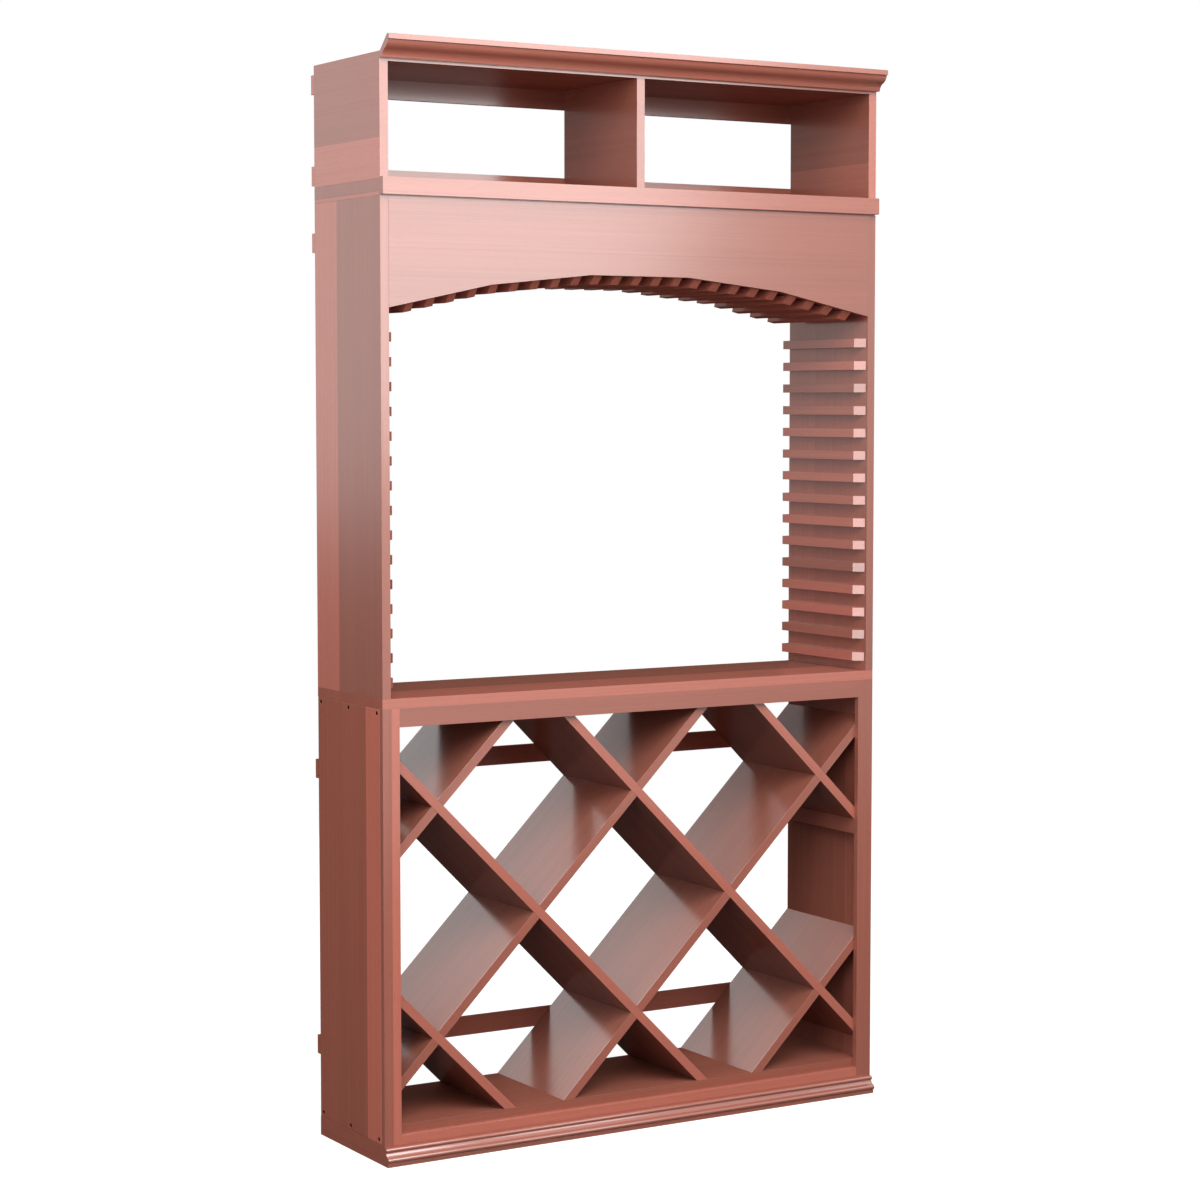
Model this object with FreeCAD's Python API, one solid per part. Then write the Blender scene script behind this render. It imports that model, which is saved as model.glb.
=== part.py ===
import FreeCAD, Part
import math
import os

os.makedirs("parts", exist_ok=True)

# Whole station, in millimetres. The front plane is the front of the sides and of the face frame.
station_width = 1220.0
case_depth = 300.0
board = 19.0

# Base cabinet: a case on a plinth, behind a face frame
base_height = 932.5
plinth_height = 41.0
frame_thickness = 13.0
stile_width = 38.5

# Diamond lattice of the base: pitch is the distance between crossings along a row
lattice_pitch = 479.0
lattice_board = 19.0
lap_clearance = 0.2
cleat_thickness = 19.0
cleat_height = 33.0

# Moulding along the front of the plinth
moulding_height = 37.5
moulding_foot = 13.5
moulding_foot_height = 8.0
moulding_foot_step = 1.5
moulding_swell = 17.5
moulding_swell_height = 11.0
moulding_hollow = 1.5
moulding_neck = 5.0
moulding_bead = 8.5
moulding_bead_height = 9.0

# Table top and niche above it
table_thickness = 20.5
arch_side_height = 1005.5
valance_end_height = 221.5
arch_radius = 2283.0
arch_facets = 5

# Slats on the niche's ceiling and sides: the slant cuts their front ends back towards the free face
slat_width = 19.0
slat_depth = 18.0
slat_pitch = 49.7
slat_setback = 7.0
slat_slant = 19.5
side_slat_start = 21.0

# Niche's top panel, belt deck with a nosing along its front, and bins
niche_top_thickness = 8.5
niche_top_setback = 2.0
deck_thickness = 25.0
nosing_height = 35.0
nosing_thickness = 13.5
nosing_lip = 3.5
bin_side_height = 250.0

# Crown moulding, sprung between its seat on the front and its top edge
crown_projection = 42.5
crown_rise = 30.0
crown_lap = 13.5
crown_foot = 12.5
crown_seat = 11.0
crown_top_width = 8.5
crown_fillet_height = 10.5
crown_fillet_step = 4.5
crown_swell = 3.0

# Rails across the back, measured from the floor or from the board above them
rear_rail_thickness = 13.0
rear_rail_height = 40.0
base_rail_lower_height = 172.5
base_rail_drop = 132.5
arch_rail_drop = 60.5

# Recessed screws through the base sides, and countersunk screws through the rear rails
screw_shank_radius = 2.0
screw_clearance = 0.2
side_screw_length = 38.0
side_screw_head_height = 3.0
counterbore_radius = 3.5
counterbore_depth = 9.0
side_screw_edge = 14.0
rail_screw_length = 40.0
countersink_radius = 4.0
countersink_depth = 2.0
screw_neck = 0.3

# Planes that the pieces share, with the origin under the middle of the whole station
half_width = station_width / 2.0
inner = half_width - board
front = (crown_projection - case_depth - rear_rail_thickness) / 2.0
back = front + case_depth
frame_back = front + frame_thickness
rear_board_front = back - board
rail_back = back + rear_rail_thickness

# Levels that the pieces share, from the floor up
base_floor = plinth_height + board
floor_plate_top = base_floor + board
top_panel_bottom = base_height - board
lattice_top = top_panel_bottom - board
table_level = base_height + table_thickness
niche_ceiling = table_level + arch_side_height
deck_bottom = niche_ceiling + niche_top_thickness
deck_level = deck_bottom + deck_thickness
lip_level = deck_level + nosing_lip
bin_top = deck_level + bin_side_height
bin_ceiling = bin_top - board

X_AXIS = FreeCAD.Vector(1, 0, 0)
Y_AXIS = FreeCAD.Vector(0, 1, 0)
Z_AXIS = FreeCAD.Vector(0, 0, 1)
CENTRE = FreeCAD.Vector(0, 0, 0)


def box(x_low, x_high, y_low, y_high, z_low, z_high):
    """Square board between two corners."""
    corner = FreeCAD.Vector(x_low, y_low, z_low)
    return Part.makeBox(x_high - x_low, y_high - y_low, z_high - z_low, corner)


def save(node, *solids):
    """Write one node: a single solid, or a group of separate ones."""
    shape = solids[0] if len(solids) == 1 else Part.makeCompound(list(solids))
    shape.exportStep(os.path.join("parts", node + ".step"))


def moulding(edges):
    """Extrude a closed section, drawn at the left end of the station, across its whole width."""
    face = Part.Face(Part.Wire(edges))
    return face.extrude(X_AXIS * station_width)


def section_point(forward, height):
    """Point of a moulding's section: how far it stands forward of the front plane, and its height."""
    return FreeCAD.Vector(-half_width, front - forward, height)


def line(start, end):
    return Part.LineSegment(start, end).toShape()


def swelling_arc(start, end, swell):
    """Arc from start to end that stands swell forward of and below its chord (negative: hollow)."""
    chord = end - start
    across = chord.cross(X_AXIS).normalize()
    if across.y > 0:
        across = across * -1.0
    middle = (start + end) * 0.5 + across * swell
    return Part.Arc(start, middle, end).toShape()


# Screws: round heads and mouths, and shanks with flats in place of their threads

SHANK_SIDES = 8
head_radius = counterbore_radius - screw_clearance
shank_hole_radius = screw_shank_radius + screw_clearance
screw_rows = (plinth_height + board / 2.0, base_height - board / 2.0)
screw_columns = (frame_back + side_screw_edge, (frame_back + back) / 2.0, back - side_screw_edge)
head_seat = half_width - counterbore_depth


def shank(radius, length, place, direction):
    """Shank of a screw, or the hole for one, from place along a level direction."""
    across = direction.cross(Z_AXIS)
    corners = []
    for number in range(SHANK_SIDES):
        angle = 2.0 * math.pi * (number + 0.5) / SHANK_SIDES
        corners.append(place + across * (radius * math.cos(angle)) + Z_AXIS * (radius * math.sin(angle)))
    return Part.Face(Part.makePolygon(corners + corners[:1])).extrude(direction * length)


def side_screw_places(side):
    for height in screw_rows:
        for depth in screw_columns:
            yield FreeCAD.Vector(side * head_seat, depth, height)


def side_screw(place, side):
    outward = X_AXIS * side
    head = Part.makeCylinder(head_radius, side_screw_head_height, place, outward)
    return head.fuse(shank(screw_shank_radius, side_screw_length, place, outward * -1.0))


def side_screw_hole(place, side):
    outward = X_AXIS * side
    mouth = Part.makeCylinder(counterbore_radius, counterbore_depth, place, outward)
    return mouth.fuse(shank(shank_hole_radius, side_screw_length, place, outward * -1.0))


def rail_screw_place(side, rail_bottom):
    return FreeCAD.Vector(side * (half_width - board / 2.0), rail_back, rail_bottom + rear_rail_height / 2.0)


def rail_screw(place):
    inward = Y_AXIS * -1.0
    head = Part.makeCone(countersink_radius - screw_clearance, screw_shank_radius + screw_neck,
                         countersink_depth, place, inward)
    return head.fuse(shank(screw_shank_radius, rail_screw_length, place, inward))


def rail_screw_hole(place):
    inward = Y_AXIS * -1.0
    mouth = Part.makeCone(countersink_radius, shank_hole_radius + screw_neck,
                          countersink_depth, place, inward)
    return mouth.fuse(shank(shank_hole_radius, rail_screw_length, place, inward))


def trimmed(piece, cutters):
    for cutter in cutters:
        piece = piece.cut(cutter)
    return piece


# Rear rails: each laps the rear edges of both sides and is screwed to them

rear_rails = {
    "base_rear_rail_lower": base_rail_lower_height,
    "base_rear_rail_upper": base_height - base_rail_drop - rear_rail_height,
    "arch_rear_rail": niche_ceiling - arch_rail_drop - rear_rail_height,
    "bin_rear_rail_lower": lip_level,
    "bin_rear_rail_upper": bin_ceiling - rear_rail_height,
}
rail_screws = []
rail_holes = {-1: [], 1: []}
for node, rail_bottom in rear_rails.items():
    rail = box(-half_width, half_width, back, rail_back, rail_bottom, rail_bottom + rear_rail_height)
    for side in (-1, 1):
        place = rail_screw_place(side, rail_bottom)
        hole = rail_screw_hole(place)
        rail = rail.cut(hole)
        rail_holes[side].append(hole)
        rail_screws.append(rail_screw(place))
    save(node, rail)
save("rail_screws", *rail_screws)


def side_board(side, y_low, z_low, z_high):
    """Side of one of the three stacked cases, bored for the rail screws that enter its rear edge."""
    x_low, x_high = sorted((side * inner, side * half_width))
    return trimmed(box(x_low, x_high, y_low, back, z_low, z_high), rail_holes[side])


# Plinth: runners under the case's sides, with a board between them at the front and at the back

for side, hand in ((-1, "left"), (1, "right")):
    x_low, x_high = sorted((side * inner, side * half_width))
    save("plinth_" + hand, box(x_low, x_high, front, back, 0.0, plinth_height))
save("plinth_front", box(-inner, inner, front, front + board, 0.0, plinth_height))
save("plinth_rear", box(-inner, inner, rear_board_front, back, 0.0, plinth_height))

# Base case: sides behind the face frame, bottom and top panels between them

bottom_panel = box(-inner, inner, frame_back, back, plinth_height, base_floor)
top_panel = box(-inner, inner, frame_back, back, top_panel_bottom, base_height)
side_screws = []
for side, hand in ((-1, "left"), (1, "right")):
    base_side = side_board(side, frame_back, plinth_height, base_height)
    for place in side_screw_places(side):
        hole = side_screw_hole(place, side)
        base_side = base_side.cut(hole)
        bottom_panel = bottom_panel.cut(hole)
        top_panel = top_panel.cut(hole)
        side_screws.append(side_screw(place, side))
    save("base_side_" + hand, base_side)
save("base_bottom_panel", bottom_panel)
save("base_top_panel", top_panel)
save("side_screws", *side_screws)
save("lattice_floor_plate", box(-inner, inner, frame_back, back, base_floor, floor_plate_top))
save("lattice_top_plate", box(-inner, inner, frame_back, back, lattice_top, top_panel_bottom))

# Face frame: stiles that stand on the plinth, rails between them

rail_end = half_width - stile_width
save("stile_left", box(-half_width, -rail_end, front, frame_back, plinth_height, base_height))
save("stile_right", box(rail_end, half_width, front, frame_back, plinth_height, base_height))
save("top_rail", box(-rail_end, rail_end, front, frame_back, lattice_top, base_height))
save("bottom_rail", box(-rail_end, rail_end, front, frame_back, plinth_height, base_floor))

# Foot moulding: fillet, swell, hollow and bead

swell_top = moulding_foot_height + moulding_swell_height
bead_bottom = moulding_height - moulding_bead_height
swell_foot = section_point(moulding_foot - moulding_foot_step, moulding_foot_height)
swell_crest = section_point(moulding_swell, moulding_foot_height + moulding_swell_height / 2.0)
swell_head = section_point(moulding_foot, swell_top)
neck = section_point(moulding_neck, bead_bottom)
bead_crest = section_point(moulding_bead, bead_bottom + moulding_bead_height / 2.0)
bead_top = section_point(moulding_neck, moulding_height)
foot_corner = section_point(moulding_foot, 0.0)
foot_edge = section_point(moulding_foot, moulding_foot_height)
save("base_moulding", moulding([
    line(section_point(0.0, 0.0), foot_corner),
    line(foot_corner, foot_edge),
    line(foot_edge, swell_foot),
    Part.Arc(swell_foot, swell_crest, swell_head).toShape(),
    swelling_arc(swell_head, neck, -moulding_hollow),
    Part.Arc(neck, bead_crest, bead_top).toShape(),
    line(bead_top, section_point(0.0, moulding_height)),
    line(section_point(0.0, moulding_height), section_point(0.0, 0.0)),
]))

# Diamond lattice: falling boards (down to the right) keep their front half at a crossing,
# rising boards keep their rear half. All are trimmed to the opening that they stand in.

lattice_centre = (floor_plate_top + lattice_top) / 2.0
lap_plane = (frame_back + back) / 2.0
lattice_opening = box(-inner, inner, frame_back, back, floor_plate_top, lattice_top)
bar_length = 2.0 * (station_width + base_height)
lattice_offsets = {
    "upper_short": 1.5 * lattice_pitch,
    "upper_long": 0.5 * lattice_pitch,
    "lower_long": -0.5 * lattice_pitch,
    "lower_short": -1.5 * lattice_pitch,
}
FALLING = 1
RISING = -1
DIAGONAL = 45.0


def diagonal_bar(slope, offset, thickness, y_low, y_high):
    """Endless bar at 45 degrees that passes offset above the lattice's centre."""
    bar = box(-bar_length / 2.0, bar_length / 2.0, y_low, y_high, -thickness / 2.0, thickness / 2.0)
    bar.rotate(CENTRE, Y_AXIS, DIAGONAL * slope)
    bar.translate(FreeCAD.Vector(slope * offset / 2.0, 0.0, lattice_centre + offset / 2.0))
    return bar


def lattice_cleat(side):
    """Cleat whose inner top edge meets the lower face of the short upper board."""
    x_low, x_high = sorted((side * (inner - cleat_thickness), side * inner))
    line_height = lattice_centre + lattice_offsets["upper_short"]
    top = line_height - lattice_board / math.sqrt(2.0) - (inner - cleat_thickness)
    return box(x_low, x_high, frame_back, back, top - cleat_height, top)


def volume(solid):
    return solid.Volume


cleats = (lattice_cleat(-1), lattice_cleat(1))
save("lattice_cleat_left", cleats[0])
save("lattice_cleat_right", cleats[1])
lap_halves = {FALLING: (lap_plane, back), RISING: (frame_back, lap_plane)}
lap_width = lattice_board + 2.0 * lap_clearance
for slope, family in ((FALLING, "falling"), (RISING, "rising")):
    for place, offset in lattice_offsets.items():
        lattice_piece = diagonal_bar(slope, offset, lattice_board, frame_back, back).common(lattice_opening)
        for crossing in lattice_offsets.values():
            notch = diagonal_bar(-slope, crossing, lap_width, *lap_halves[slope])
            lattice_piece = lattice_piece.cut(notch)
        lattice_piece = trimmed(lattice_piece, cleats)
        save("lattice_" + family + "_" + place, max(lattice_piece.Solids, key=volume))

# Table top and the niche's sides

save("table_top", box(-half_width, half_width, front, back, base_height, table_level))
save("arch_side_left", side_board(-1, front, table_level, niche_ceiling))
save("arch_side_right", side_board(1, front, table_level, niche_ceiling))

# Arch: valance and rear board share a lower edge of straight stretches between points of a circle

spring_level = niche_ceiling - valance_end_height
spring_angle = math.asin(inner / arch_radius)
arch_centre = spring_level - arch_radius * math.cos(spring_angle)


def arch_board(y_front):
    corners = [FreeCAD.Vector(-inner, y_front, niche_ceiling)]
    for step in range(arch_facets + 1):
        angle = spring_angle * (2.0 * step / arch_facets - 1.0)
        height = arch_centre + arch_radius * math.cos(angle)
        corners.append(FreeCAD.Vector(arch_radius * math.sin(angle), y_front, height))
    corners.append(FreeCAD.Vector(inner, y_front, niche_ceiling))
    outline = Part.makePolygon(corners + corners[:1])
    return Part.Face(outline).extrude(Y_AXIS * board)


save("arch_valance", arch_board(front))
save("rear_arch", arch_board(rear_board_front))

# Slats: nailed under the arch's straight stretches and on the niche's sides, flush with the back


def slat():
    """Slat along Y whose fixed face lies on the level of the origin, with the free face below it."""
    edge = -slat_width / 2.0
    fixed_front = FreeCAD.Vector(edge, front + slat_setback, 0.0)
    fixed_rear = FreeCAD.Vector(edge, back, 0.0)
    free_rear = FreeCAD.Vector(edge, back, -slat_depth)
    free_front = FreeCAD.Vector(edge, front + slat_setback + slat_slant, -slat_depth)
    outline = Part.makePolygon([fixed_front, fixed_rear, free_rear, free_front, fixed_front])
    return Part.Face(outline).extrude(X_AXIS * slat_width)


slats_each_way = int((spring_angle * arch_radius - slat_width / 2.0) / slat_pitch)
facet_height = arch_radius * math.cos(spring_angle / arch_facets)
facet_reach = arch_radius * math.sin(spring_angle / arch_facets) - slat_width / 2.0
facet_names = ("far_left", "left", "middle", "right", "far_right")
facet_slats = {name: [] for name in facet_names}
for number in range(-slats_each_way, slats_each_way + 1):
    angle = number * slat_pitch / arch_radius
    facet = int((angle / spring_angle + 1.0) / 2.0 * arch_facets)
    facet_angle = spring_angle * ((2.0 * facet + 1.0) / arch_facets - 1.0)
    along = facet_height * math.tan(angle - facet_angle)
    along = max(-facet_reach, min(facet_reach, along))
    ceiling_slat = slat()
    ceiling_slat.translate(FreeCAD.Vector(along, 0.0, facet_height))
    ceiling_slat.rotate(CENTRE, Y_AXIS, math.degrees(facet_angle))
    ceiling_slat.translate(FreeCAD.Vector(0.0, 0.0, arch_centre))
    facet_slats[facet_names[facet]].append(ceiling_slat)
for name, slats in facet_slats.items():
    save("arch_slats_" + name, *slats)

UPRIGHT = 90.0
first_slat = table_level + side_slat_start
highest_slat = spring_level - slat_depth - slat_width
side_slat_count = 1 + int((highest_slat - first_slat) / slat_pitch)
for side, hand in ((-1, "left"), (1, "right")):
    slats = []
    for number in range(side_slat_count):
        middle = first_slat + slat_width / 2.0 + number * slat_pitch
        side_slat = slat()
        side_slat.rotate(CENTRE, Y_AXIS, side * UPRIGHT)
        side_slat.translate(FreeCAD.Vector(side * inner, 0.0, middle))
        slats.append(side_slat)
    save("side_slats_" + hand, *slats)

# Niche's top panel, belt deck with its nosing, and the two bins that stand on the deck

save("niche_top_panel", box(-half_width, half_width, front + niche_top_setback, back,
                            niche_ceiling, deck_bottom))
save("belt_deck", box(-half_width, half_width, front, back, deck_bottom, deck_level))
save("belt_nosing", box(-half_width, half_width, front - nosing_thickness, front,
                        lip_level - nosing_height, lip_level))
save("bin_side_left", side_board(-1, front, deck_level, bin_top))
save("bin_side_right", side_board(1, front, deck_level, bin_top))
save("bin_divider", box(-board / 2.0, board / 2.0, front, back, deck_level, bin_ceiling))
save("bin_top_panel", box(-inner, inner, front, back, bin_ceiling, bin_top))

# Crown moulding: foot, hollow running into a swell, and a square fillet at the top

crown_bottom = bin_top - crown_lap
crown_top = bin_top + crown_rise
fillet_bottom = crown_top - crown_fillet_height
seat_foot = section_point(0.0, crown_bottom)
crown_toe = section_point(crown_foot, crown_bottom)
swell_end = section_point(crown_projection - crown_fillet_step, fillet_bottom)
turn = (crown_toe + swell_end) * 0.5
fillet_corner = section_point(crown_projection, fillet_bottom)
top_front = section_point(crown_projection, crown_top)
top_rear = section_point(crown_projection - crown_top_width, crown_top)
seat_head = section_point(0.0, crown_bottom + crown_seat)
save("crown_moulding", moulding([
    line(seat_foot, crown_toe),
    swelling_arc(crown_toe, turn, -crown_swell),
    swelling_arc(turn, swell_end, crown_swell),
    line(swell_end, fillet_corner),
    line(fillet_corner, top_front),
    line(top_front, top_rear),
    line(top_rear, seat_head),
    line(seat_head, seat_foot),
]))
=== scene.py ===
import math
import bpy
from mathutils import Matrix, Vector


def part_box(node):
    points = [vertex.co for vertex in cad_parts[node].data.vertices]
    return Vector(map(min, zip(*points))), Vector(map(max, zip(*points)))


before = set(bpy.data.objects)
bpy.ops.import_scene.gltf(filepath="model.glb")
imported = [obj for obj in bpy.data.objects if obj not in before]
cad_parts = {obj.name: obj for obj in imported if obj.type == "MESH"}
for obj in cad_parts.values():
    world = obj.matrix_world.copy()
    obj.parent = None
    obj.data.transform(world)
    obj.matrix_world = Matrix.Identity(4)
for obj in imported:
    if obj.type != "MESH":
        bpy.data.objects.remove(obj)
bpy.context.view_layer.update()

# Plinth: two runners along the sides, joined by a board at the front and one at the back. All boards
# of the station share this finish: red-brown mahogany under a satin lacquer, with the sharp arrises of
# most of them sanded off.
MAHOGANY_DARK = (0.355, 0.115, 0.078, 1.0)
MAHOGANY_LIGHT = (0.590, 0.175, 0.120, 1.0)
MAHOGANY_PORE = (0.130, 0.040, 0.025, 1.0)
LACQUER_IOR = 2.0
LACQUER_ROUGHNESS = 0.18
FULL_GLOSS = 1.0
RUBBED_GLOSS = 0.15
GRAIN_DEPTH = 0.00025
GRAIN_BUMP = 0.35


def new_group(name, inputs, outputs):
    """Shader node group with its named sockets. Each input is (name, kind, default)."""
    group = bpy.data.node_groups.new(name, "ShaderNodeTree")
    for socket, kind, value in inputs:
        made = group.interface.new_socket(socket, in_out="INPUT", socket_type=kind)
        made.default_value = value
    for socket, kind in outputs:
        group.interface.new_socket(socket, in_out="OUTPUT", socket_type=kind)
    return group, group.nodes.new("NodeGroupInput"), group.nodes.new("NodeGroupOutput")


def wire(tree, source, node, socket):
    """Link a socket, or set a plain value, on one input of a node."""
    if isinstance(source, bpy.types.NodeSocket):
        tree.links.new(source, node.inputs[socket])
    else:
        node.inputs[socket].default_value = source


def maths(tree, operation, first, second=0.0):
    node = tree.nodes.new("ShaderNodeMath")
    node.operation = operation
    wire(tree, first, node, 0)
    wire(tree, second, node, 1)
    return node.outputs[0]


def smooth_step(tree, value, low, high, out_low=0.0, out_high=1.0):
    node = tree.nodes.new("ShaderNodeMapRange")
    node.interpolation_type = "SMOOTHSTEP"
    for socket, source in enumerate((value, low, high, out_low, out_high)):
        wire(tree, source, node, socket)
    return node.outputs[0]


def blend_colour(tree, share, first, second):
    """Blend two colours. A share below 0 or above 1 goes past them."""
    node = tree.nodes.new("ShaderNodeMix")
    node.data_type = "RGBA"
    node.clamp_factor = False
    wire(tree, share, node, "Factor")
    wire(tree, first, node, 6)
    wire(tree, second, node, 7)
    return node.outputs[2]


def noise(tree, vector, seed, scale, detail, stretch):
    """Noise drawn out along the grain: stretch is its scale along, across and through the board."""
    spread = tree.nodes.new("ShaderNodeMapping")
    wire(tree, vector, spread, "Vector")
    spread.inputs["Scale"].default_value = stretch
    node = tree.nodes.new("ShaderNodeTexNoise")
    node.noise_dimensions = "4D"
    wire(tree, spread.outputs[0], node, "Vector")
    wire(tree, seed, node, "W")
    node.inputs["Scale"].default_value = scale
    node.inputs["Detail"].default_value = detail
    return node.outputs["Fac"]


STRIP_FADE = 0.0006
GLUE_LINE_WIDTH = 0.0009


def make_glued_strips():
    """Which strip of a glued-up board a point is on, as a tone from dark 0 to light 1."""
    group, source, sink = new_group(
        "glued strips",
        [("Across", "NodeSocketFloat", 0.0), ("First joint", "NodeSocketFloat", 0.0),
         ("Second joint", "NodeSocketFloat", 0.0), ("Low tone", "NodeSocketFloat", 0.0),
         ("Middle tone", "NodeSocketFloat", 0.0), ("High tone", "NodeSocketFloat", 0.0)],
        [("Tone", "NodeSocketFloat"), ("Glue line", "NodeSocketFloat")])
    tone = source.outputs["Low tone"]
    gaps = []
    for joint, above in (("First joint", "Middle tone"), ("Second joint", "High tone")):
        beyond = maths(group, "SUBTRACT", source.outputs["Across"], source.outputs[joint])
        step = smooth_step(group, beyond, -STRIP_FADE, STRIP_FADE)
        rise = maths(group, "SUBTRACT", source.outputs[above], tone)
        tone = maths(group, "ADD", tone, maths(group, "MULTIPLY", rise, step))
        away = maths(group, "ABSOLUTE", beyond)
        gaps.append(smooth_step(group, away, 0.0, GLUE_LINE_WIDTH, 1.0, 0.0))
    wire(group, tone, sink, "Tone")
    wire(group, maths(group, "MAXIMUM", *gaps), sink, "Glue line")
    return group


RIBBON_STRETCH = (0.9, 22.0, 22.0)
STREAK_STRETCH = (1.6, 170.0, 170.0)
VEIN_STRETCH = (1.1, 420.0, 420.0)
PORE_STRETCH = (45.0, 1500.0, 1500.0)
PORE_RANGE = (0.60, 0.74)
VEIN_RANGE = (0.48, 0.72)
RIBBON_SWAY = 0.40
STREAK_SWAY = 0.45
VEIN_SHADE = 0.12
PORE_SHADE = 0.30
GLUE_SHADE = 0.35
END_SHADE = 0.08
TIMBER_ROUGHNESS = (0.36, 0.50)
STREAK_RELIEF = 0.35


def make_mahogany_grain():
    """Mahogany's ribbon figure, streaks, open pores and dark ends. Vector has the grain along X."""
    group, source, sink = new_group(
        "mahogany grain",
        [("Vector", "NodeSocketVector", (0.0, 0.0, 0.0)), ("Seed", "NodeSocketFloat", 0.0),
         ("Tone", "NodeSocketFloat", 0.0), ("Glue line", "NodeSocketFloat", 0.0),
         ("End grain", "NodeSocketFloat", 0.0),
         ("Dark", "NodeSocketColor", MAHOGANY_DARK), ("Light", "NodeSocketColor", MAHOGANY_LIGHT)],
        [("Color", "NodeSocketColor"), ("Roughness", "NodeSocketFloat"), ("Height", "NodeSocketFloat")])
    vector, seed = source.outputs["Vector"], source.outputs["Seed"]
    ribbon = noise(group, vector, seed, 1.0, 2.0, RIBBON_STRETCH)
    streak = noise(group, vector, seed, 1.0, 3.0, STREAK_STRETCH)
    vein = noise(group, vector, seed, 1.0, 2.0, VEIN_STRETCH)
    pore = noise(group, vector, seed, 1.0, 1.0, PORE_STRETCH)
    pores = smooth_step(group, pore, *PORE_RANGE)
    sway = maths(group, "MULTIPLY", maths(group, "SUBTRACT", ribbon, 0.5), RIBBON_SWAY)
    fine = maths(group, "MULTIPLY", maths(group, "SUBTRACT", streak, 0.5), STREAK_SWAY)
    tone = maths(group, "ADD", source.outputs["Tone"], maths(group, "ADD", sway, fine))
    timber = blend_colour(group, tone, source.outputs["Dark"], source.outputs["Light"])
    shade = smooth_step(group, vein, *VEIN_RANGE, 0.0, VEIN_SHADE)
    for mark, depth in ((pores, PORE_SHADE), (source.outputs["Glue line"], GLUE_SHADE),
                        (source.outputs["End grain"], END_SHADE)):
        shade = maths(group, "MAXIMUM", shade, maths(group, "MULTIPLY", mark, depth))
    wire(group, blend_colour(group, shade, timber, MAHOGANY_PORE), sink, "Color")
    wire(group, smooth_step(group, streak, 0.25, 0.75, *TIMBER_ROUGHNESS), sink, "Roughness")
    relief = maths(group, "MULTIPLY", streak, STREAK_RELIEF)
    wire(group, maths(group, "SUBTRACT", relief, pores), sink, "Height")
    return group


glued_strips = make_glued_strips()
mahogany_grain = make_mahogany_grain()
AXES = ("X", "Y", "Z")
FAR_JOINT = 100.0
LIPPING = 0.0015
NO_LIPPING = (-FAR_JOINT, 0.0)
SEED_STEP = 3.7
SAWN_FACE = (0.75, 0.92)
INNER_FACE = (-0.50, -0.45)


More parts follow.
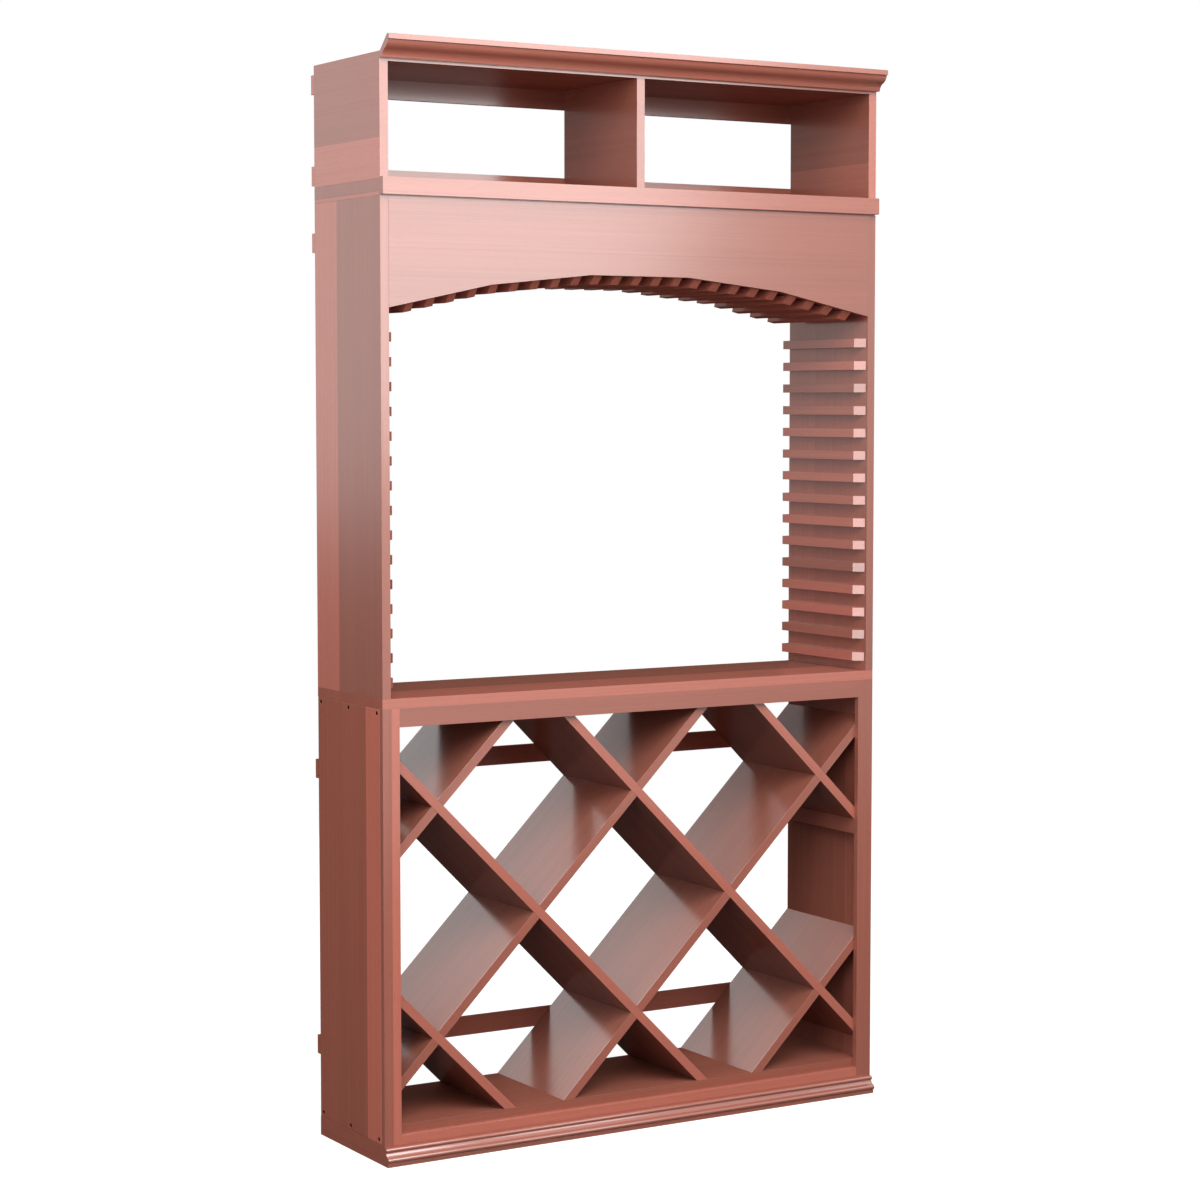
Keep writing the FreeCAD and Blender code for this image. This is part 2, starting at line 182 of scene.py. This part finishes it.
def mahogany(name, grain, across, tones, joints, turn, gloss, inner_gloss, lipping):
    """Lacquered mahogany. Grain and across name row axes, turn tilts them about Y, joints are places.

    Lipping is the place in depth and the tone of a thin strip of full gloss along the front edge.
    Inner gloss is that of the faces that look towards the middle of the station.
    """
    material = bpy.data.materials.new(name)
    material.use_nodes = True
    tree = material.node_tree
    shader = tree.nodes["Principled BSDF"]
    place = tree.nodes.new("ShaderNodeTexCoord")
    tilt = tree.nodes.new("ShaderNodeMapping")
    tilt.inputs["Rotation"].default_value = (0.0, turn, 0.0)
    tree.links.new(place.outputs["Object"], tilt.inputs["Vector"])
    parts = tree.nodes.new("ShaderNodeSeparateXYZ")
    tree.links.new(tilt.outputs[0], parts.inputs[0])
    through = [axis for axis in AXES if axis not in (grain, across)][0]
    order = tree.nodes.new("ShaderNodeCombineXYZ")
    for socket, axis in enumerate((grain, across, through)):
        tree.links.new(parts.outputs[axis], order.inputs[socket])
    strips = tree.nodes.new("ShaderNodeGroup")
    strips.node_tree = glued_strips
    tree.links.new(parts.outputs[across], strips.inputs["Across"])
    steps = list(joints) + [FAR_JOINT] * (2 - len(joints))
    shades = list(tones) + [tones[-1]] * (3 - len(tones))
    for socket, value in zip(("First joint", "Second joint"), steps):
        strips.inputs[socket].default_value = value
    for socket, value in zip(("Low tone", "Middle tone", "High tone"), shades):
        strips.inputs[socket].default_value = value
    timber = tree.nodes.new("ShaderNodeGroup")
    timber.name = "timber"
    timber.node_tree = mahogany_grain
    tree.links.new(order.outputs[0], timber.inputs["Vector"])
    timber.inputs["Seed"].default_value = SEED_STEP * len(bpy.data.materials)
    lip_place, lip_tone = lipping
    lip_edges = (lip_place - LIPPING, lip_place + LIPPING)
    lipped = smooth_step(tree, parts.outputs["Y"], *lip_edges, 1.0, 0.0)
    facing = tree.nodes.new("ShaderNodeNewGeometry")
    facing_tilt = tree.nodes.new("ShaderNodeMapping")
    facing_tilt.inputs["Rotation"].default_value = (0.0, turn, 0.0)
    tree.links.new(facing.outputs["True Normal"], facing_tilt.inputs["Vector"])
    facing_parts = tree.nodes.new("ShaderNodeSeparateXYZ")
    tree.links.new(facing_tilt.outputs[0], facing_parts.inputs[0])
    along = maths(tree, "ABSOLUTE", facing_parts.outputs[grain])
    sawn = maths(tree, "SUBTRACT", smooth_step(tree, along, *SAWN_FACE), lipped)
    tree.links.new(sawn, timber.inputs["End grain"])
    whole = maths(tree, "SUBTRACT", maths(tree, "SUBTRACT", 1.0, lipped), sawn)
    tone = maths(tree, "MULTIPLY", strips.outputs["Tone"], whole)
    tone = maths(tree, "ADD", tone, maths(tree, "MULTIPLY", sawn, tones[0]))
    tone = maths(tree, "ADD", tone, maths(tree, "MULTIPLY", lipped, lip_tone))
    tree.links.new(tone, timber.inputs["Tone"])
    glue_line = maths(tree, "MULTIPLY", strips.outputs["Glue line"], whole)
    tree.links.new(glue_line, timber.inputs["Glue line"])
    outward = maths(tree, "MULTIPLY", parts.outputs["X"], facing_parts.outputs["X"])
    polish = smooth_step(tree, outward, *INNER_FACE, inner_gloss, gloss)
    extra = maths(tree, "MULTIPLY", lipped, maths(tree, "SUBTRACT", FULL_GLOSS, polish))
    bump = tree.nodes.new("ShaderNodeBump")
    bump.inputs["Strength"].default_value = GRAIN_BUMP
    bump.inputs["Distance"].default_value = GRAIN_DEPTH
    tree.links.new(timber.outputs["Height"], bump.inputs["Height"])
    tree.links.new(timber.outputs["Color"], shader.inputs["Base Color"])
    tree.links.new(timber.outputs["Roughness"], shader.inputs["Roughness"])
    tree.links.new(bump.outputs[0], shader.inputs["Normal"])
    shader.inputs["Specular IOR Level"].default_value = 0.0
    tree.links.new(maths(tree, "ADD", polish, extra), shader.inputs["Coat Weight"])
    shader.inputs["Coat Roughness"].default_value = LACQUER_ROUGHNESS
    shader.inputs["Coat IOR"].default_value = LACQUER_IOR
    return material


ARRIS = 0.0003
ARRIS_STEPS = 2
WELD_REACH = 0.000002
FLAT_ANGLE = math.radians(0.5)
ARRIS_ANGLE = math.radians(35.0)
CRISP_ANGLE = math.radians(25.0)


def ease_arrises(piece, arris):
    """Join the faces of a board and take off its arrises, also those of its bores."""
    joined = piece.modifiers.new("joined faces", "WELD")
    joined.merge_threshold = WELD_REACH
    flats = piece.modifiers.new("whole flats", "DECIMATE")
    flats.decimate_type = "DISSOLVE"
    flats.angle_limit = FLAT_ANGLE
    easing = piece.modifiers.new("eased arrises", "BEVEL")
    easing.width = arris
    easing.segments = ARRIS_STEPS
    easing.limit_method = "ANGLE"
    easing.angle_limit = ARRIS_ANGLE
    easing.loop_slide = False
    easing.use_clamp_overlap = False
    crisp = piece.modifiers.new("crisp edges", "EDGE_SPLIT")
    crisp.split_angle = CRISP_ANGLE


def finish_board(node, grain, across, tones=(0.2,), joints=(), turn=0.0, gloss=FULL_GLOSS,
                 inner_gloss=None, lip_tone=None, arris=ARRIS):
    """Give a board its timber and ease its arrises. Joints are measured from its low edge across."""
    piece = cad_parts[node]
    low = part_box(node)[0]
    places = [low[AXES.index(across)] + joint for joint in joints]
    lipping = NO_LIPPING if lip_tone is None else (low.y + LIPPING, lip_tone)
    inner_gloss = gloss if inner_gloss is None else inner_gloss
    piece.material_slots[0].material = mahogany(
        node, grain, across, tones, places, turn, gloss, inner_gloss, lipping)
    if arris:
        ease_arrises(piece, arris)
    return piece


for hand in ("left", "right"):
    finish_board("plinth_" + hand, "Y", "Z", (0.1,), gloss=RUBBED_GLOSS)
for end in ("front", "rear"):
    finish_board("plinth_" + end, "X", "Z", (0.15,), gloss=RUBBED_GLOSS)

# Base sides: boards glued up from strips, with the grain upright and the front strip lighter. They stand
# on the plinth and are bored for recessed screws, with the mouths of the bores broken wider. The walls of
# the bores are coloured near-black as painted shade.
BORED_ARRIS = 0.0016
FRONT_STRIP = 0.064
BORE_PAINTED_SHADE = (0.012, 0.005, 0.004, 1.0)
BORE_SHADE_MARGIN = (0.0004, 0.003, 0.002)
for hand, side_tones in (("left", (1.0, 0.1)), ("right", (0.1, -0.15))):
    piece = finish_board("base_side_" + hand, "Z", "Y", side_tones, (FRONT_STRIP,),
                         gloss=RUBBED_GLOSS, arris=BORED_ARRIS)
    side_low, side_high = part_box("base_side_" + hand)
    side_tree = piece.material_slots[0].material.node_tree
    side_shader = side_tree.nodes["Principled BSDF"]
    side_place = side_tree.nodes.new("ShaderNodeTexCoord")
    side_parts = side_tree.nodes.new("ShaderNodeSeparateXYZ")
    side_tree.links.new(side_place.outputs["Object"], side_parts.inputs[0])
    # Painted shade: points deeper than a small margin inside the board, which are the walls of the bores,
    # take a near-black colour.
    in_bore_shade = 1.0
    for axis, low, high, rim in zip(AXES, side_low, side_high, BORE_SHADE_MARGIN):
        above = maths(side_tree, "GREATER_THAN", side_parts.outputs[axis], low + rim)
        below = maths(side_tree, "LESS_THAN", side_parts.outputs[axis], high - rim)
        in_bore_shade = maths(side_tree, "MULTIPLY", in_bore_shade, maths(side_tree, "MULTIPLY", above, below))
    plain = side_shader.inputs["Base Color"].links[0].from_socket
    bore_shaded_colour = blend_colour(side_tree, in_bore_shade, plain, BORE_PAINTED_SHADE)
    side_tree.links.new(bore_shaded_colour, side_shader.inputs["Base Color"])

# Base panels and lattice plates: level boards between the sides, screwed through them at the ends.
# The lattice stands between the two plates, whose front edges show behind the face frame.
for node in ("base_bottom_panel", "base_top_panel", "lattice_floor_plate", "lattice_top_plate"):
    finish_board(node, "X", "Y", (-0.15,), gloss=RUBBED_GLOSS)

# Recessed screws: black oxide steel, seen at the bottom of the counterbores in the sides. The same
# steel is used for the countersunk screws that hold the rear rails.
SCREW_BLACK = (0.018, 0.018, 0.020, 1.0)
SCREW_WORN = (0.060, 0.058, 0.056, 1.0)
SCREW_MOTTLE = 900.0
SCREW_ROUGHNESS = (0.35, 0.6)
SCREW_METAL = 0.8
screw_steel = bpy.data.materials.new("screw steel")
screw_steel.use_nodes = True
steel_tree = screw_steel.node_tree
steel_shader = steel_tree.nodes["Principled BSDF"]
steel_place = steel_tree.nodes.new("ShaderNodeTexCoord")
steel_mottle = noise(steel_tree, steel_place.outputs["Object"], 1.0, SCREW_MOTTLE, 2.0, (1.0, 1.0, 1.0))
steel_colour = blend_colour(steel_tree, steel_mottle, SCREW_BLACK, SCREW_WORN)
steel_tree.links.new(steel_colour, steel_shader.inputs["Base Color"])
steel_rough = smooth_step(steel_tree, steel_mottle, 0.3, 0.7, *SCREW_ROUGHNESS)
steel_tree.links.new(steel_rough, steel_shader.inputs["Roughness"])
steel_shader.inputs["Metallic"].default_value = SCREW_METAL
for node in ("side_screws", "rail_screws"):
    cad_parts[node].material_slots[0].material = screw_steel

# Face frame: two stiles on the plinth with a rail between them at the top and the bottom, glued to the
# front of the case. The left stile is glued up from a dark and a light strip.
STILE_STRIP = 0.0195
finish_board("stile_left", "Z", "X", (0.25, 1.0), (STILE_STRIP,))
finish_board("stile_right", "Z", "X", (0.15,))
finish_board("top_rail", "X", "Z", (0.15,))
finish_board("bottom_rail", "X", "Z", (0.95,))

# Foot moulding: one length of mahogany bead and ogee along the foot of the face frame, cut square at its
# ends and glued on.
finish_board("base_moulding", "X", "Z", (0.2,))

# Diamond lattice: eight boards at 45 degrees, half lapped where they cross. The falling boards pass in
# front and have lighter front edges, the rising ones are duller.
LATTICE_GLOSS = 0.4
FALLING_TURN = math.radians(-45.0)
RISING_TURN = math.radians(45.0)
for place in ("upper_short", "upper_long", "lower_long", "lower_short"):
    finish_board("lattice_falling_" + place, "X", "Y", (-0.35,), (), FALLING_TURN,
                 gloss=LATTICE_GLOSS, lip_tone=0.7)
    finish_board("lattice_rising_" + place, "X", "Y", (-0.2,), (), RISING_TURN,
                 gloss=LATTICE_GLOSS, lip_tone=0.2)

# Lattice cleats: short mahogany battens fixed level to the sides, which carry the lower ends of the short
# upper boards.
for hand in ("left", "right"):
    finish_board("lattice_cleat_" + hand, "Y", "Z", (0.0,), gloss=RUBBED_GLOSS)

# Table top: a full width board glued up from a light front strip and a dark one, with a light lipping
# along its front edge. It lies on top of the base case and carries the niche.
TABLE_GLOSS = 0.35
TABLE_FRONT_STRIP = 0.135
finish_board("table_top", "X", "Y", (0.2, -0.35), (TABLE_FRONT_STRIP,), gloss=TABLE_GLOSS, lip_tone=0.8)

# Niche sides: upright boards that stand on the table top, glued up from a wide strip and a lighter one
# at the back.
NICHE_DARK_STRIP = 0.196
NICHE_INNER_GLOSS = 0.6
for hand, side_tones in (("left", (0.15, 1.2)), ("right", (0.05, 0.15))):
    finish_board("arch_side_" + hand, "Z", "Y", side_tones, (NICHE_DARK_STRIP,),
                 inner_gloss=NICHE_INNER_GLOSS)

# Valance and rear arch: wide boards between the niche sides at the front and the back, with the arch
# sawn into their lower edges. The valance has a light top strip.
VALANCE_LOW_STRIP = 0.120
VALANCE_TOP_STRIP = 0.212
finish_board("arch_valance", "X", "Z", (0.0, 0.05, 0.6), (VALANCE_LOW_STRIP, VALANCE_TOP_STRIP))
finish_board("rear_arch", "X", "Z", (0.25,))

# Slats: sawn strips with slanted front ends. Those of the ceiling are nailed under the straight stretches
# of the arch, those of the sides are nailed level to the side boards, each from another length of stock.
ARCH_SLAT_GLOSS = 0.35
for place in ("far_left", "left", "middle", "right", "far_right"):
    finish_board("arch_slats_" + place, "Y", "X", (0.6,), gloss=ARCH_SLAT_GLOSS)
SIDE_SLAT_PITCH = 0.0497
for hand in ("left", "right"):
    piece = finish_board("side_slats_" + hand, "Y", "Z", inner_gloss=NICHE_INNER_GLOSS, arris=0.0)
    slat_tree = piece.material_slots[0].material.node_tree
    slat_place = slat_tree.nodes.new("ShaderNodeTexCoord")
    slat_parts = slat_tree.nodes.new("ShaderNodeSeparateXYZ")
    slat_tree.links.new(slat_place.outputs["Object"], slat_parts.inputs[0])
    above_first = maths(slat_tree, "SUBTRACT", slat_parts.outputs["Z"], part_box("side_slats_" + hand)[0].z)
    slat_count = maths(slat_tree, "FLOOR", maths(slat_tree, "DIVIDE", above_first, SIDE_SLAT_PITCH))
    slat_choice = slat_tree.nodes.new("ShaderNodeTexWhiteNoise")
    slat_choice.noise_dimensions = "1D"
    slat_tree.links.new(slat_count, slat_choice.inputs["W"])
    slat_tree.links.new(slat_choice.outputs["Value"], slat_tree.nodes["timber"].inputs["Tone"])

# Belt: a thin light panel over the niche, the thick dark deck of the bins on it, and a light nosing glued
# along the front of both.
finish_board("niche_top_panel", "X", "Y", (1.0,))
finish_board("belt_deck", "X", "Y", (0.2,))
finish_board("belt_nosing", "X", "Z", (0.35,))

# Bins: two sides, a divider and a top panel. The sides have level grain and a lighter strip below, and
# light lippings cover the front edges. The right side has darker tones than the left, partly wood tone and
# partly painted shade for the inside of the bins.
BIN_LIGHT_STRIP = 0.082
BIN_GLOSS = 0.2
# The right side's darker tones are partly painted shade on the inside of the bins.
for hand, side_tones, lip_tone in (("left", (1.2, 0.35), 0.3), ("right", (0.1, -0.25), 0.8)):
    finish_board("bin_side_" + hand, "Y", "Z", side_tones, (BIN_LIGHT_STRIP,),
                 inner_gloss=BIN_GLOSS, lip_tone=lip_tone)
finish_board("bin_divider", "Y", "Z", (-0.2,), gloss=BIN_GLOSS, lip_tone=0.15)
finish_board("bin_top_panel", "X", "Y", (-0.35,), gloss=BIN_GLOSS, lip_tone=0.45, arris=0.0)

# Crown moulding: one length of sprung mahogany moulding, glued along the top of the front and cut square
# at its ends.
finish_board("crown_moulding", "X", "Z", (0.4,))

# Rear rails: thin battens across the open back, screwed to the rear edges of the sides. The upper three
# have light sawn ends, so their first strip lies below the rail and only its tone is used.
RAIL_TONES = (1.2, -0.1)
RAIL_JOINT = (-0.01,)
for place in ("lower", "upper"):
    finish_board("base_rear_rail_" + place, "X", "Z", (0.1,), gloss=RUBBED_GLOSS, arris=0.0)
    finish_board("bin_rear_rail_" + place, "X", "Z", RAIL_TONES, RAIL_JOINT, arris=0.0)
finish_board("arch_rear_rail", "X", "Z", RAIL_TONES, RAIL_JOINT, arris=0.0)

# Studio floor: a pale matt sheet just under the plinth, which looks white to the camera and keeps a soft
# shadow.
FLOOR_HALF = 4.0
FLOOR_DROP = 0.0005
FLOOR_GREY = (0.08, 0.08, 0.08, 1.0)
FLOOR_SHADE = (0.50, 0.50, 0.50, 1.0)
FLOOR_WHITE = 0.78
floor_mesh = bpy.data.meshes.new("studio_floor")
corners = [(-FLOOR_HALF, -FLOOR_HALF, 0.0), (FLOOR_HALF, -FLOOR_HALF, 0.0),
           (FLOOR_HALF, FLOOR_HALF, 0.0), (-FLOOR_HALF, FLOOR_HALF, 0.0)]
floor_mesh.from_pydata(corners, [], [(0, 1, 2, 3)])
floor = bpy.data.objects.new("studio_floor", floor_mesh)
floor.location.z = -FLOOR_DROP
bpy.context.scene.collection.objects.link(floor)
floor_paint = bpy.data.materials.new("floor paint")
floor_paint.use_nodes = True
floor_tree = floor_paint.node_tree
floor_tree.nodes.clear()
floor_out = floor_tree.nodes.new("ShaderNodeOutputMaterial")
floor_plain = floor_tree.nodes.new("ShaderNodeBsdfDiffuse")
floor_plain.inputs["Color"].default_value = FLOOR_GREY
floor_shade = floor_tree.nodes.new("ShaderNodeBsdfDiffuse")
floor_shade.inputs["Color"].default_value = FLOOR_SHADE
floor_glow = floor_tree.nodes.new("ShaderNodeEmission")
floor_glow.inputs["Strength"].default_value = FLOOR_WHITE
floor_seen = floor_tree.nodes.new("ShaderNodeAddShader")
floor_tree.links.new(floor_shade.outputs[0], floor_seen.inputs[0])
floor_tree.links.new(floor_glow.outputs[0], floor_seen.inputs[1])
floor_ray = floor_tree.nodes.new("ShaderNodeLightPath")
floor_mix = floor_tree.nodes.new("ShaderNodeMixShader")
floor_tree.links.new(floor_ray.outputs["Is Camera Ray"], floor_mix.inputs[0])
floor_tree.links.new(floor_plain.outputs[0], floor_mix.inputs[1])
floor_tree.links.new(floor_seen.outputs[0], floor_mix.inputs[2])
floor_tree.links.new(floor_mix.outputs[0], floor_out.inputs[0])
floor_mesh.materials.append(floor_paint)

# Studio world: white to the camera, with a plain fill light. Reflections see a white wall at the left and
# the front, and a dark one behind at the right.
FILL_LIGHT = 0.62
FILL_BELOW = 0.15
FILL_BEHIND = 0.33
HORIZON_EDGE = (-0.055, -0.030)
BELOW_HORIZON = 0.06
DARK_WALL_WAY = (0.8, 0.6)
DARK_WALL_EDGE = (0.50, 0.70)
DARK_WALL = 0.05
FRONT_WALL_TILT = -0.6
FRONT_WALL_EDGE = (-0.60, -0.28)
WALL_CORNER = (-0.1, 0.1)
FILL_FADE = (-0.3, 0.3)
world = bpy.data.worlds.new("studio")
bpy.context.scene.world = world
world.use_nodes = True
sky = world.node_tree
sky.nodes.clear()
sky_out = sky.nodes.new("ShaderNodeOutputWorld")
sky_ray = sky.nodes.new("ShaderNodeLightPath")
sky_way = sky.nodes.new("ShaderNodeTexCoord")
sky_parts = sky.nodes.new("ShaderNodeSeparateXYZ")
sky.links.new(sky_way.outputs["Generated"], sky_parts.inputs[0])
sky_wall = smooth_step(sky, sky_parts.outputs["Z"], *HORIZON_EDGE, BELOW_HORIZON, 1.0)
sky_tilt = maths(sky, "ADD", sky_parts.outputs["Z"],
                 maths(sky, "MULTIPLY", sky_parts.outputs["X"], FRONT_WALL_TILT))
sky_front = smooth_step(sky, sky_tilt, *FRONT_WALL_EDGE, BELOW_HORIZON, 1.0)
sky_turn = smooth_step(sky, sky_parts.outputs["Y"], *WALL_CORNER)
sky_wall = maths(sky, "ADD", maths(sky, "MULTIPLY", sky_wall, sky_turn),
                 maths(sky, "MULTIPLY", sky_front, maths(sky, "SUBTRACT", 1.0, sky_turn)))
sky_right = maths(sky, "ADD", maths(sky, "MULTIPLY", sky_parts.outputs["X"], DARK_WALL_WAY[0]),
                  maths(sky, "MULTIPLY", sky_parts.outputs["Y"], DARK_WALL_WAY[1]))
sky_dark = smooth_step(sky, sky_right, *DARK_WALL_EDGE, 1.0, DARK_WALL)
sky_wall = maths(sky, "MULTIPLY", sky_wall, sky_dark)
sky_seen = maths(sky, "MAXIMUM", sky_wall, sky_ray.outputs["Is Camera Ray"])
shown = maths(sky, "MAXIMUM", sky_ray.outputs["Is Camera Ray"], sky_ray.outputs["Is Glossy Ray"])
shown = maths(sky, "MAXIMUM", shown, sky_ray.outputs["Is Transmission Ray"])
sky_fill = sky.nodes.new("ShaderNodeBackground")
fill_up = smooth_step(sky, sky_parts.outputs["Z"], *FILL_FADE, FILL_BELOW * FILL_LIGHT, FILL_LIGHT)
fill_front = smooth_step(sky, sky_parts.outputs["Y"], *FILL_FADE, 1.0, FILL_BEHIND)
sky.links.new(maths(sky, "MULTIPLY", fill_up, fill_front), sky_fill.inputs["Strength"])
sky_white = sky.nodes.new("ShaderNodeBackground")
sky_white.inputs["Color"].default_value = (1.0, 1.0, 1.0, 1.0)
sky.links.new(sky_seen, sky_white.inputs["Strength"])
sky_mix = sky.nodes.new("ShaderNodeMixShader")
sky.links.new(shown, sky_mix.inputs[0])
sky.links.new(sky_fill.outputs[0], sky_mix.inputs[1])
sky.links.new(sky_white.outputs[0], sky_mix.inputs[2])
sky.links.new(sky_mix.outputs[0], sky_out.inputs[0])


# Studio lamps: a large soft key from the front left and above, two soft boxes at the left for the left side
# and for the slats of the right side, one at the front right whose reflection lies on the upper front, and
# two large dim ones for the right side and the back.
def soft_box(name, place, target, width, height, radiance, roll=0.0):
    """Evenly lit rectangle that looks at a target. Radiance is that of its face."""
    lamp = bpy.data.lights.new(name, "AREA")
    lamp.shape = "RECTANGLE"
    lamp.size = width
    lamp.size_y = height
    lamp.energy = radiance * math.pi * width * height
    made = bpy.data.objects.new(name, lamp)
    bpy.context.scene.collection.objects.link(made)
    made.location = place
    aim = Vector(target) - made.location
    made.rotation_mode = "QUATERNION"
    turn = Matrix.Rotation(roll, 3, "Z").to_quaternion()
    made.rotation_quaternion = aim.to_track_quat("-Z", "Y") @ turn
    return made


soft_box("key_box", (-1.0, -3.1, 3.7), (0.0, 0.0, 1.2), 3.0, 3.0, 5.6)
soft_box("side_box", (-4.0, -0.5, 2.2), (-0.6, 0.0, 1.6), 2.0, 2.0, 3.1)
soft_box("tall_box", (-3.6, -2.8, 1.15), (0.55, -0.1, 1.3), 1.0, 2.0, 3.0)
REFLECTION_ROLL = math.radians(-20.0)
soft_box("reflected_box", (1.81, -4.15, 2.55), (-0.3, 0.0, 1.7), 1.72, 2.5, 2.9, REFLECTION_ROLL)
soft_box("right_box", (4.6, 0.2, 1.8), (0.6, 0.2, 1.8), 3.6, 3.4, 1.2)
soft_box("back_box", (-0.4, 4.6, 1.8), (-0.4, 0.0, 1.8), 2.6, 3.4, 2.2)

# Camera at the photograph's viewing angle: level with the niche, to the left of the middle, and tilted a
# little down.
CAMERA_PLACE = (-3.17607, -5.22108, 1.54882)
CAMERA_TILT = math.radians(90.0 - 3.9807)
CAMERA_TURN = math.radians(-31.1678)
CAMERA_SENSOR = 36.0
CAMERA_LENS = 85.306
camera_data = bpy.data.cameras.new("camera")
camera_data.sensor_width = CAMERA_SENSOR
camera_data.lens = CAMERA_LENS
camera = bpy.data.objects.new("camera", camera_data)
camera.location = CAMERA_PLACE
camera.rotation_euler = (CAMERA_TILT, 0.0, CAMERA_TURN)
bpy.context.scene.collection.objects.link(camera)
bpy.context.scene.camera = camera
bpy.context.scene.view_settings.view_transform = "Standard"
